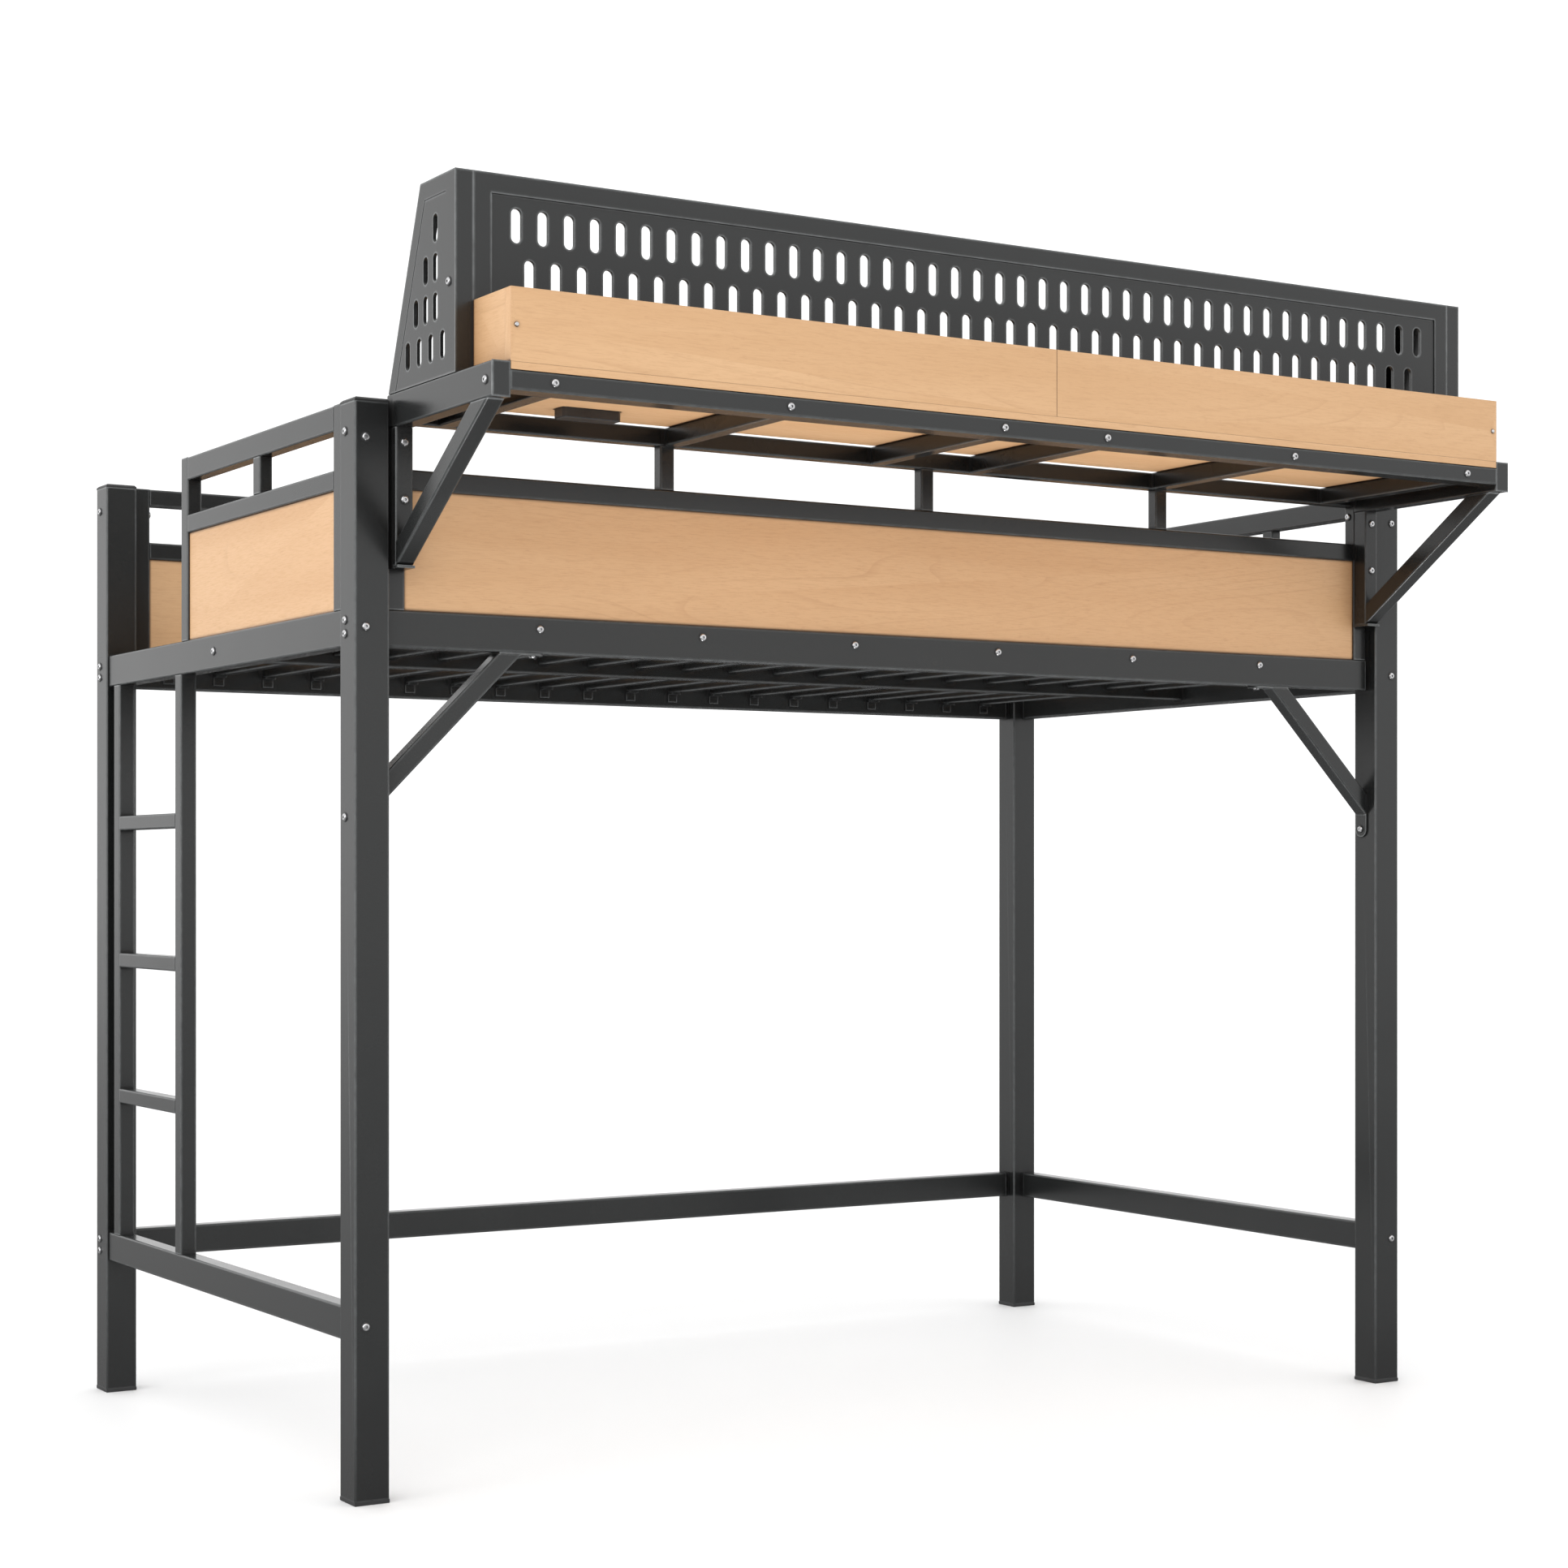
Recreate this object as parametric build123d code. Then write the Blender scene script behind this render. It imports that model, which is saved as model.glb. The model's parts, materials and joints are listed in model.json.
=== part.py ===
from build123d import *
import math
import os
from dataclasses import dataclass

# A steel loft bed with a desk shelf carried outside its front guard.
# Frame while modelling: X = 0 at mid length, Y = 0 at the front face of the front posts, Z = 0 on
# the floor, +Y towards the back. Every part is moved at the end, so that the written origin is the
# centre of the footprint on the floor. Millimetres.

# ---------------------------------------------------------------- driving sizes
LENGTH = 2038.0  # over the posts, X
WIDTH = 1162.0  # over the posts, Y
POST = 55.0  # square post tube
POST_TOP = 1613.0
PAD = 6.0  # thickness of the plastic feet and caps
PLUG_DEEP = 20.0  # how far they reach into a post
JOINT_GAP = 5.0  # spacer between a post and the frame bolted to it

WALL = 1.5
CORNER = 3.0  # outer corner radius of the tubes

DECK_BOTTOM = 1252.5
DECK_TOP = 1307.5
RAIL_DEEP = 30.0
STRETCHER_BOTTOM = 235.0
STRETCHER_TOP = 285.0

GUARD_DEEP = 25.0
GUARD_STILE = 28.0
END_STILE = 30.0
MID_RAIL_BOTTOM = 1485.5
MID_RAIL_TOP = 1515.5
GUARD_TOP = 1611.0
TOP_RAIL_HIGH = 28.0
END_TOP_RAIL_HIGH = 38.0
BALUSTER_WIDE = 25.0
BALUSTER_DEEP = 22.0
BALUSTER_PITCH = 488.0
PANEL_THICK = 15.0
PANEL_INSET = 4.0

FRONT_RECESS = 20.0  # the front frame stands this far behind the front post faces
BACK_RECESS = 4.0
END_RECESS = 4.0
ENTRANCE_EDGE = 737.5  # the left guard stops here, over the front ladder upright

SLAT_COUNT = 20
SLAT_PITCH = 94.5
SLAT_WIDE = 22.0
SLAT_BOTTOM = 1280.0
SLAT_TOP = 1300.0
BEAM_BOTTOM = 1265.0
BEAM_Y = (570.0, 600.0)

LADDER_FRONT_Y = (740.0, 768.0)
LADDER_BACK_Y = (1050.0, 1080.0)
RUNG_TOPS = (543.0, 781.5, 1022.0)
RUNG_HIGH = 25.0

BRACE_RISE = 208.0  # height and reach of the 45 degree knee braces
BRACE_DEEP = 28.0
TAB = 3.0  # thickness of the brace tabs

SHELF_FRONT = -332.0
SHELF_TOP = 1622.0
SHELF_REAR = 8.0  # back edge of the desktop
DESK_THICK = 11.0
ARM_HIGH = 50.0
UPRIGHT_FRONT = -10.0
UPRIGHT_BOTTOM = 1370.0
DIAGONAL_THICK = 30.0
DIAGONAL_REACH = 304.5
SHELF_RAIL_DEEP = 40.0
CROSS_MEMBERS = (98.0, 480.0, 863.0)

BOX_TOP = 1725.0
BOARD_THICK = 18.0

PEG_FRONT = -213.5
PEG_TOP = 1908.0
SHEET = 1.5
FLANGE = 25.0
COLLAR_DEEP = 5.0  # depth of the turned edge round each slot
COLLAR_WALL = 1.2
SLOT = (16.5, 49.0)
SLOT_PITCH = 42.1
SLOT_ROW_PITCH = 71.5
SLOT_TOP_ROW = 1837.5
WING_TOP_REAR = -96.0
WING_FOOT_REAR = 16.0
WING_RETURN = 36.0  # flange along the sloping back edge, measured from the outer face
WING_SLOT = (15.0, 40.0)

POWER_X = (-723.0, -624.0)
POWER_Y = (-84.0, -50.0)
POWER_BOTTOM = 1596.0

BOLT = 6.0
BORE = 6.4
HEAD = 11.5
HEAD_HIGH = 3.3
SPACER = 18.0
PLUG_LONG = 15.0
NUT_HIGH = 4.0
INTO_NUT = 2.2  # how far a bolt's end reaches into its nut
BOARD_GAP = 0.8  # open joint between the two front boards of the box

# ---------------------------------------------------------------- derived places
END_X = LENGTH / 2
POST_IN_X = END_X - POST
FRAME_X = POST_IN_X - JOINT_GAP  # ends of the front and back frames
STILE_IN_X = FRAME_X - GUARD_STILE
FRONT_Y = POST + JOINT_GAP  # ends of the left and right frames
BACK_Y = WIDTH - POST - JOINT_GAP
RAIL_FRONT_Y = (FRONT_RECESS, FRONT_RECESS + RAIL_DEEP)
RAIL_BACK_Y = (WIDTH - BACK_RECESS - RAIL_DEEP, WIDTH - BACK_RECESS)
RAIL_END_X = (END_X - END_RECESS - RAIL_DEEP, END_X - END_RECESS)
GUARD_FRONT_Y = (FRONT_RECESS, FRONT_RECESS + GUARD_DEEP)
GUARD_BACK_Y = (RAIL_BACK_Y[1] - GUARD_DEEP - 2.5, RAIL_BACK_Y[1] - 2.5)
GUARD_END_X = (END_X - END_RECESS - GUARD_DEEP, END_X - END_RECESS)
DECK_Z = (DECK_BOTTOM, DECK_TOP)
STRETCHER_Z = (STRETCHER_BOTTOM, STRETCHER_TOP)
MID_RAIL_Z = (MID_RAIL_BOTTOM, MID_RAIL_TOP)
SHELF_RAIL_TOP = SHELF_TOP - DESK_THICK
SHELF_RAIL_Z = (SHELF_RAIL_TOP - TOP_RAIL_HIGH, SHELF_RAIL_TOP)
ARM_Z = (SHELF_TOP - ARM_HIGH, SHELF_TOP)
BRACKET_X = (STILE_IN_X, FRAME_X)
SLAT_X = [(k - (SLAT_COUNT - 1) / 2) * SLAT_PITCH for k in range(SLAT_COUNT)]
BOLTED_SLATS = SLAT_X[2::3]

BOLT_FRONT_Y = 35.0
BOLT_BACK_Y = WIDTH - 20.0
BOLT_END_X = END_X - 17.0
BOLT_GUARD_X_Z = 1566.0
BOLT_GUARD_Y_Z = 1555.0
BOLT_DECK_X_Z = (1290.0, 1270.0)
BOLT_DECK_Y_Z = 1279.0
BOLT_STRETCHER_X_Z = (270.0, 249.0)
BOLT_STRETCHER_Y_Z = 260.0
BOLT_BRACE_Z = 1002.0
BOLT_SLAT_Z = 1289.0
BOLT_SHELF_Z = 1597.0
BOLT_BEAM_Z = 1281.0


# ---------------------------------------------------------------- shapes
def block(x, y, z):
    """Plain box between two values on each axis."""
    size = [high - low for low, high in (x, y, z)]
    middle = [(high + low) / 2 for low, high in (x, y, z)]
    return Pos(*middle) * Box(*size)


def on_right(part):
    """The same piece on the other end of the bed."""
    return mirror(part, about=Plane.YZ)


def flip(span):
    """A span of X, mirrored to the other end."""
    return (-span[1], -span[0])


@dataclass
class Tube:
    """Open rectangular tube that fills the box x, y, z and runs along one axis."""

    x: tuple
    y: tuple
    z: tuple
    along: str
    wall: float = WALL

    def section(self):
        """Plane across the low end, and the tube's outer width and height on it."""
        wide = self.y[1] - self.y[0] if self.along == "X" else self.x[1] - self.x[0]
        high = self.y[1] - self.y[0] if self.along == "Z" else self.z[1] - self.z[0]
        middle = [(low + high_) / 2 for low, high_ in (self.x, self.y, self.z)]
        axis = "XYZ".index(self.along)
        origin = list(middle)
        origin[axis] = (self.x, self.y, self.z)[axis][0]
        across = (0, 1, 0) if self.along == "X" else (1, 0, 0)
        forward = [1 if i == axis else 0 for i in range(3)]
        return Plane(origin=origin, x_dir=across, z_dir=forward), wide, high

    def long(self):
        low, high = {"X": self.x, "Y": self.y, "Z": self.z}[self.along]
        return high - low

    def solid(self):
        plane, wide, high = self.section()
        outer = RectangleRounded(wide, high, CORNER)
        inner = RectangleRounded(wide - 2 * self.wall, high - 2 * self.wall, CORNER - self.wall)
        return extrude(plane * (outer - inner), self.long())

    def plug(self, at_high_end):
        """Threaded block inside one end, level with the end."""
        plane, wide, high = self.section()
        clear = 2 * self.wall + 0.2
        face = RectangleRounded(wide - clear, high - clear, CORNER - self.wall)
        start = self.long() - PLUG_LONG if at_high_end else 0.0
        return extrude(plane.offset(start) * face, PLUG_LONG)


def sloping_tube(start, end, across, wide, thick, spare=60.0):
    """Rectangular tube about the line from start to end, longer by spare at both ends."""
    line = (Vector(*end) - Vector(*start)).normalized()
    origin = Vector(*start) - line * spare
    length = (Vector(*end) - Vector(*start)).length + 2 * spare
    plane = Plane(origin=origin, x_dir=across, z_dir=line)
    outer = RectangleRounded(wide, thick, CORNER)
    inner = RectangleRounded(wide - 2 * WALL, thick - 2 * WALL, CORNER - WALL)
    return extrude(plane * (outer - inner), length)


# ---------------------------------------------------------------- fasteners
@dataclass
class Bolt:
    """Button head bolt: seat is the middle of the face under its head."""

    seat: tuple
    way: tuple
    length: float

    def plane(self):
        return Plane(origin=self.seat, z_dir=self.way)

    def solid(self):
        head = Pos(0, 0, -HEAD_HIGH / 2) * Cylinder(HEAD / 2, HEAD_HIGH)
        head = fillet(head.edges().filter_by(GeomType.CIRCLE).sort_by(Axis.Z)[0], 2.2)
        socket = extrude(Pos(0, 0, -HEAD_HIGH) * RegularPolygon(2.3, 6), 1.8)
        shank = Pos(0, 0, self.length / 2) * Cylinder(BOLT / 2, self.length)
        return self.plane().location * (head - socket + shank)

    def bore(self):
        long = self.length + 0.5
        return self.plane().location * (Pos(0, 0, long / 2) * Cylinder(BORE / 2, long))


def button_nut(face, way):
    """Low nut with the same round head and hexagon socket as the bolts."""
    body = Pos(0, 0, NUT_HIGH / 2) * Cylinder(HEAD / 2, NUT_HIGH)
    body = fillet(body.edges().filter_by(GeomType.CIRCLE).sort_by(Axis.Z)[-1], 2.2)
    hole = Pos(0, 0, (INTO_NUT + 0.2) / 2) * Cylinder(BORE / 2, INTO_NUT + 0.2)
    socket = Pos(0, 0, NUT_HIGH - 1.2) * extrude(RegularPolygon(2.3, 6), 1.2)
    return Plane(origin=face, z_dir=way).location * (body - hole - socket)


def spacer(seat, way):
    ring = Cylinder(SPACER / 2, JOINT_GAP) - Cylinder(BORE / 2, JOINT_GAP)
    return Plane(origin=seat, z_dir=way).location * (Pos(0, 0, JOINT_GAP / 2) * ring)


INTO_PLUG = POST + JOINT_GAP + PLUG_LONG - 1.0  # through a post and into a tube's end plug

bolts = []
nuts = []
spacers = []

for side in (-1, 1):
    inward = (-side, 0, 0)
    outer_face = side * END_X
    inner_face = side * POST_IN_X

    # through the posts, along X
    for y in (BOLT_FRONT_Y, BOLT_BACK_Y):
        reach = POST + JOINT_GAP + GUARD_STILE + INTO_NUT
        bolts.append(Bolt((outer_face, y, BOLT_GUARD_X_Z), inward, reach))
        nuts.append(button_nut((side * STILE_IN_X, y, BOLT_GUARD_X_Z), inward))
        spacers.append(spacer((inner_face, y, BOLT_GUARD_X_Z), inward))
        for z in BOLT_DECK_X_Z:
            bolts.append(Bolt((outer_face, y, z), inward, INTO_PLUG))
            spacers.append(spacer((inner_face, y, z), inward))
    for z in BOLT_STRETCHER_X_Z:
        bolts.append(Bolt((outer_face, BOLT_BACK_Y, z), inward, INTO_PLUG))
        spacers.append(spacer((inner_face, BOLT_BACK_Y, z), inward))
    brace_reach = POST + TAB + INTO_NUT
    bolts.append(Bolt((outer_face, BOLT_FRONT_Y, BOLT_BRACE_Z), inward, brace_reach))
    nuts.append(button_nut((side * (POST_IN_X - TAB), BOLT_FRONT_Y, BOLT_BRACE_Z), inward))

    # through the posts, along Y
    x = side * BOLT_END_X
    for y, way, inner_y, frame_y in (
        (0.0, 1, POST, FRONT_Y + END_STILE),
        (WIDTH, -1, WIDTH - POST, BACK_Y - END_STILE),
    ):
        for z in (BOLT_DECK_Y_Z, BOLT_STRETCHER_Y_Z):
            bolts.append(Bolt((x, y, z), (0, way, 0), INTO_PLUG))
            spacers.append(spacer((x, inner_y, z), (0, way, 0)))
        if side < 0 and way < 0:
            continue  # the entrance: no guard meets the back left post
        reach = POST + JOINT_GAP + END_STILE + INTO_NUT
        bolts.append(Bolt((x, y, BOLT_GUARD_Y_Z), (0, way, 0), reach))
        nuts.append(button_nut((x, frame_y, BOLT_GUARD_Y_Z), (0, way, 0)))
        spacers.append(spacer((x, inner_y, BOLT_GUARD_Y_Z), (0, way, 0)))

    # centre beam, from the end rail's outer face
    beam_y = sum(BEAM_Y) / 2
    beam_seat = (side * RAIL_END_X[1], beam_y, BOLT_BEAM_Z)
    bolts.append(Bolt(beam_seat, inward, RAIL_DEEP + PLUG_LONG - 1.0))

    # desk brackets on the guard stiles
    bracket_mid = side * (FRAME_X + STILE_IN_X) / 2
    for z in (1550.0, 1466.0):
        reach = FRONT_RECESS - UPRIGHT_FRONT + GUARD_DEEP + INTO_NUT
        bolts.append(Bolt((bracket_mid, UPRIGHT_FRONT, z), (0, 1, 0), reach))
        nuts.append(button_nut((bracket_mid, GUARD_FRONT_Y[1], z), (0, 1, 0)))
    arm_seat = (side * FRAME_X, SHELF_FRONT + 21.0, BOLT_SHELF_Z)
    bolts.append(Bolt(arm_seat, inward, GUARD_STILE + PLUG_LONG - 1.0))

    # pegboard wings, into the pegboard's side flange
    wing_seat = (side * FRAME_X, PEG_FRONT + 20.5, 1752.0)
    bolts.append(Bolt(wing_seat, inward, GUARD_STILE + SHEET + INTO_NUT))
    wing_nut = (side * (STILE_IN_X - SHEET), PEG_FRONT + 20.5, 1752.0)
    nuts.append(button_nut(wing_nut, inward))

    # top tab of the knee brace, up into the deck rail
    tab_x = side * (END_X - 305.0)
    bolts.append(Bolt((tab_x, BOLT_FRONT_Y, DECK_BOTTOM - TAB), (0, 0, 1), TAB + WALL + INTO_NUT))
    nuts.append(button_nut((tab_x, BOLT_FRONT_Y, DECK_BOTTOM + WALL), (0, 0, 1)))

    # cross members of the desk shelf
    for member in CROSS_MEMBERS:
        x = side * member
        front = (x, SHELF_FRONT, BOLT_SHELF_Z)
        bolts.append(Bolt(front, (0, 1, 0), SHELF_RAIL_DEEP + PLUG_LONG - 1.0))
        rear = (x, GUARD_FRONT_Y[1], BOLT_SHELF_Z)
        bolts.append(Bolt(rear, (0, -1, 0), GUARD_DEEP + PLUG_LONG - 1.0))

for x in BOLTED_SLATS:
    reach = RAIL_DEEP + PLUG_LONG - 1.0
    bolts.append(Bolt((x, RAIL_FRONT_Y[0], BOLT_SLAT_Z), (0, 1, 0), reach))
    bolts.append(Bolt((x, RAIL_BACK_Y[1], BOLT_SLAT_Z), (0, -1, 0), reach))

bolt_holes = []
for bolt in bolts:
    bore = bolt.bore()
    bolt_holes.append((bore, bore.bounding_box().min, bore.bounding_box().max))


def bored(part):
    """The part with a clearance hole for every bolt that crosses it."""
    low, high = part.bounding_box().min, part.bounding_box().max
    for hole, hole_low, hole_high in bolt_holes:
        apart_x = high.X < hole_low.X or hole_high.X < low.X
        apart_y = high.Y < hole_low.Y or hole_high.Y < low.Y
        apart_z = high.Z < hole_low.Z or hole_high.Z < low.Z
        if not (apart_x or apart_y or apart_z):
            part = part - hole
    return part


# ---------------------------------------------------------------- posts
def post(x):
    """Post tubes, front and back, at one end."""
    z = (PAD, POST_TOP - PAD)
    front = Tube(x, (0, POST), z, "Z").solid()
    back = Tube(x, (WIDTH - POST, WIDTH), z, "Z").solid()
    return front, back


def post_pads(low, plug_low, bevel_up):
    """A square pad with a plug into the tube, at each of the four posts."""
    pads = []
    for x in (-END_X + POST / 2, END_X - POST / 2):
        for y in (POST / 2, WIDTH - POST / 2):
            pad = Pos(x, y, low + PAD / 2) * Box(POST, POST, PAD)
            rim = pad.faces().sort_by(Axis.Z)[-1 if bevel_up else 0].edges()
            pad = chamfer(rim, 3.0 if bevel_up else 1.0)
            inside = RectangleRounded(POST - 2 * WALL - 0.4, POST - 2 * WALL - 0.4, CORNER - WALL)
            plug = Pos(x, y, plug_low) * extrude(inside, PLUG_DEEP)
            pads.append(pad + plug)
    return pads


left_posts = post((-END_X, -POST_IN_X))
right_posts = post((POST_IN_X, END_X))

# ---------------------------------------------------------------- deck, stretchers and ladder
front_rail = Tube((-FRAME_X, FRAME_X), RAIL_FRONT_Y, DECK_Z, "X")
back_rail = Tube((-FRAME_X, FRAME_X), RAIL_BACK_Y, DECK_Z, "X")
right_rail = Tube(RAIL_END_X, (FRONT_Y, BACK_Y), DECK_Z, "Y")
left_rail = Tube(flip(RAIL_END_X), (FRONT_Y, BACK_Y), DECK_Z, "Y")
back_stretcher = Tube((-FRAME_X, FRAME_X), RAIL_BACK_Y, STRETCHER_Z, "X")
right_stretcher = Tube(RAIL_END_X, (FRONT_Y, BACK_Y), STRETCHER_Z, "Y")
left_stretcher = Tube(flip(RAIL_END_X), (FRONT_Y, BACK_Y), STRETCHER_Z, "Y")
centre_beam = Tube((-RAIL_END_X[0], RAIL_END_X[0]), BEAM_Y, (BEAM_BOTTOM, SLAT_TOP), "X")


def slat(x, y, rail_at_low_y):
    """Slat tube from the centre beam to a rail, with a hook tab down the rail's face."""
    body = Tube((x - SLAT_WIDE / 2, x + SLAT_WIDE / 2), y, (SLAT_BOTTOM, SLAT_TOP), "Y")
    rail_y = (y[0], y[0] + TAB) if rail_at_low_y else (y[1] - TAB, y[1])
    foot_y = (y[0], y[0] + 18.0) if rail_at_low_y else (y[1] - 18.0, y[1])
    half = SLAT_WIDE / 2 - 1.0
    hook = block((x - half, x + half), rail_y, (SLAT_BOTTOM - 18.0, SLAT_BOTTOM))
    foot = block((x - half, x + half), foot_y, (SLAT_BOTTOM - TAB, SLAT_BOTTOM))
    return body, body.solid() + hook + foot


front_slats = [slat(x, (RAIL_FRONT_Y[1], BEAM_Y[0]), True) for x in SLAT_X]
back_slats = [slat(x, (BEAM_Y[1], RAIL_BACK_Y[0]), False) for x in SLAT_X]

ladder_x = flip((RAIL_END_X[1] - 28.0, RAIL_END_X[1]))
ladder_z = (STRETCHER_TOP, DECK_BOTTOM)
ladder_front = Tube(ladder_x, LADDER_FRONT_Y, ladder_z, "Z").solid()
ladder_back = Tube(ladder_x, LADDER_BACK_Y, ladder_z, "Z").solid()
rungs = [
    Tube(ladder_x, (LADDER_FRONT_Y[1], LADDER_BACK_Y[0]), (top - RUNG_HIGH, top), "Y").solid()
    for top in RUNG_TOPS
]


def knee_brace():
    """Left knee brace: 45 degree tube with a tab on the post and a tab under the deck rail."""
    y_mid = BOLT_FRONT_Y
    post_face = -POST_IN_X
    low = (post_face, y_mid, DECK_BOTTOM - BRACE_RISE)
    high = (post_face + BRACE_RISE, y_mid, DECK_BOTTOM)
    tube = sloping_tube(low, high, (0, 1, 0), BRACE_DEEP, BRACE_DEEP)
    keep = block(
        (post_face + TAB, 0),
        (-POST, 2 * POST),
        (DECK_BOTTOM - 2 * BRACE_RISE, DECK_BOTTOM - TAB),
    )
    half = BRACE_DEEP / 2
    side_y = (y_mid - half, y_mid + half)
    low_tab = block((post_face, post_face + TAB), side_y, (988.0, DECK_BOTTOM - BRACE_RISE + 20.0))
    corners = low_tab.edges().filter_by(Axis.X).group_by(Axis.Z)[0]
    low_tab = fillet(corners, half - 1.0)
    top_tab = block(
        (post_face + BRACE_RISE - 20.0, post_face + 265.0),
        side_y,
        (DECK_BOTTOM - TAB, DECK_BOTTOM),
    )
    corners = top_tab.edges().filter_by(Axis.Z).group_by(Axis.X)[-1]
    top_tab = fillet(corners, half - 1.0)
    return (tube & keep) + low_tab + top_tab


# ---------------------------------------------------------------- guards
def long_guard(y, top_rail_z):
    """Frame and panel of the front or the back guard, on top of its deck rail."""
    stile_z = (DECK_TOP, top_rail_z[1])
    inside = (-STILE_IN_X, STILE_IN_X)
    stiles = [Tube(x, y, stile_z, "Z").solid() for x in (flip(BRACKET_X), BRACKET_X)]
    mid_rail = Tube(inside, y, MID_RAIL_Z, "X").solid()
    top_rail = Tube(inside, y, top_rail_z, "X").solid()
    baluster_y = (y[0], y[0] + BALUSTER_DEEP)
    balusters = []
    for k in (-1, 0, 1):
        x = (k * BALUSTER_PITCH - BALUSTER_WIDE / 2, k * BALUSTER_PITCH + BALUSTER_WIDE / 2)
        balusters.append(Tube(x, baluster_y, (MID_RAIL_TOP, top_rail_z[0]), "Z").solid())
    panel_y = (y[0] + PANEL_INSET, y[0] + PANEL_INSET + PANEL_THICK)
    panel = block(inside, panel_y, (DECK_TOP, MID_RAIL_BOTTOM))
    return stiles, mid_rail, top_rail, balusters, panel


def end_guard(y, baluster_count):
    """Frame and panel of a guard on the right end, between two values of Y."""
    x = GUARD_END_X
    stile_z = (DECK_TOP, GUARD_TOP)
    inside = (y[0] + END_STILE, y[1] - END_STILE)
    top_z = (GUARD_TOP - END_TOP_RAIL_HIGH, GUARD_TOP)
    low_stile = Tube(x, (y[0], inside[0]), stile_z, "Z").solid()
    high_stile = Tube(x, (inside[1], y[1]), stile_z, "Z").solid()
    mid_rail = Tube(x, inside, MID_RAIL_Z, "Y").solid()
    top_rail = Tube(x, inside, top_z, "Y").solid()
    step = (inside[1] - inside[0] + GUARD_STILE) / (baluster_count + 1)
    balusters = []
    for k in range(1, baluster_count + 1):
        start = inside[0] - GUARD_STILE + k * step
        span = (start, start + GUARD_STILE)
        baluster_x = (x[1] - BALUSTER_DEEP, x[1])
        balusters.append(Tube(baluster_x, span, (MID_RAIL_TOP, top_z[0]), "Z").solid())
    panel_x = (x[1] - PANEL_INSET - PANEL_THICK, x[1] - PANEL_INSET)
    panel = block(panel_x, inside, (DECK_TOP, MID_RAIL_BOTTOM))
    return [low_stile, high_stile], mid_rail, top_rail, balusters, panel


front_guard = long_guard(GUARD_FRONT_Y, SHELF_RAIL_Z)
back_guard = long_guard(GUARD_BACK_Y, (GUARD_TOP - 30.0, GUARD_TOP))
right_guard = end_guard((FRONT_Y, BACK_Y), 3)
left_guard = end_guard((FRONT_Y, ENTRANCE_EDGE), 1)

# ---------------------------------------------------------------- desk shelf
right_arm = Tube(BRACKET_X, (SHELF_FRONT + 2.0, FRONT_RECESS), ARM_Z, "Y")
upright_z = (UPRIGHT_BOTTOM, ARM_Z[0])
right_upright = Tube(BRACKET_X, (UPRIGHT_FRONT, FRONT_RECESS), upright_z, "Z")


def diagonal():
    """Right bracket's diagonal, cut to the arm's underside and the upright's front face."""
    x_mid = sum(BRACKET_X) / 2
    rise = ARM_Z[0] - UPRIGHT_BOTTOM
    slope = math.atan2(rise, DIAGONAL_REACH)
    half = DIAGONAL_THICK / 2
    lift = (0, half * math.sin(slope), half * math.cos(slope))
    low = (x_mid, UPRIGHT_FRONT + lift[1], UPRIGHT_BOTTOM + lift[2])
    high = (x_mid, UPRIGHT_FRONT - DIAGONAL_REACH + lift[1], ARM_Z[0] + lift[2])
    tube = sloping_tube(low, high, (1, 0, 0), GUARD_STILE, DIAGONAL_THICK)
    keep = block((0, END_X), (2 * SHELF_FRONT, UPRIGHT_FRONT), (UPRIGHT_BOTTOM, ARM_Z[0]))
    return tube & keep


def bracket_caps():
    """End plate of the arm, and the small shoe under the upright and the diagonal."""
    plate = block(BRACKET_X, (SHELF_FRONT, SHELF_FRONT + 2.0), ARM_Z)
    plate = chamfer(plate.faces().sort_by(Axis.Y)[0].edges(), 0.8)
    shoe_y = (UPRIGHT_FRONT - 6.0, FRONT_RECESS)
    shoe = block(BRACKET_X, shoe_y, (UPRIGHT_BOTTOM - 4.0, UPRIGHT_BOTTOM))
    return [plate, shoe]


shelf_x = (-STILE_IN_X, STILE_IN_X)
shelf_front_y = (SHELF_FRONT, SHELF_FRONT + SHELF_RAIL_DEEP)
shelf_front_rail = Tube(shelf_x, shelf_front_y, SHELF_RAIL_Z, "X")
cross_members = []
for side in (-1, 1):
    for member in CROSS_MEMBERS:
        x = (side * member - GUARD_STILE / 2, side * member + GUARD_STILE / 2)
        cross_members.append(Tube(x, (shelf_front_y[1], FRONT_RECESS), SHELF_RAIL_Z, "Y"))

desktop = block(shelf_x, (SHELF_FRONT, SHELF_REAR), (SHELF_RAIL_TOP, SHELF_TOP))
desktop = desktop - block(POWER_X, POWER_Y, (SHELF_RAIL_TOP, SHELF_TOP))

box_z = (SHELF_TOP, BOX_TOP)
front_board_y = (SHELF_FRONT, SHELF_FRONT + BOARD_THICK)
front_boards = [
    block((-STILE_IN_X, -BOARD_GAP / 2), front_board_y, box_z),
    block((BOARD_GAP / 2, STILE_IN_X), front_board_y, box_z),
]
side_board_x = (STILE_IN_X - BOARD_THICK, STILE_IN_X)
side_board = block(side_board_x, (front_board_y[1], PEG_FRONT), box_z)
batten = block((-22.0, 22.0), (front_board_y[1], front_board_y[1] + BOARD_THICK), box_z)


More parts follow.
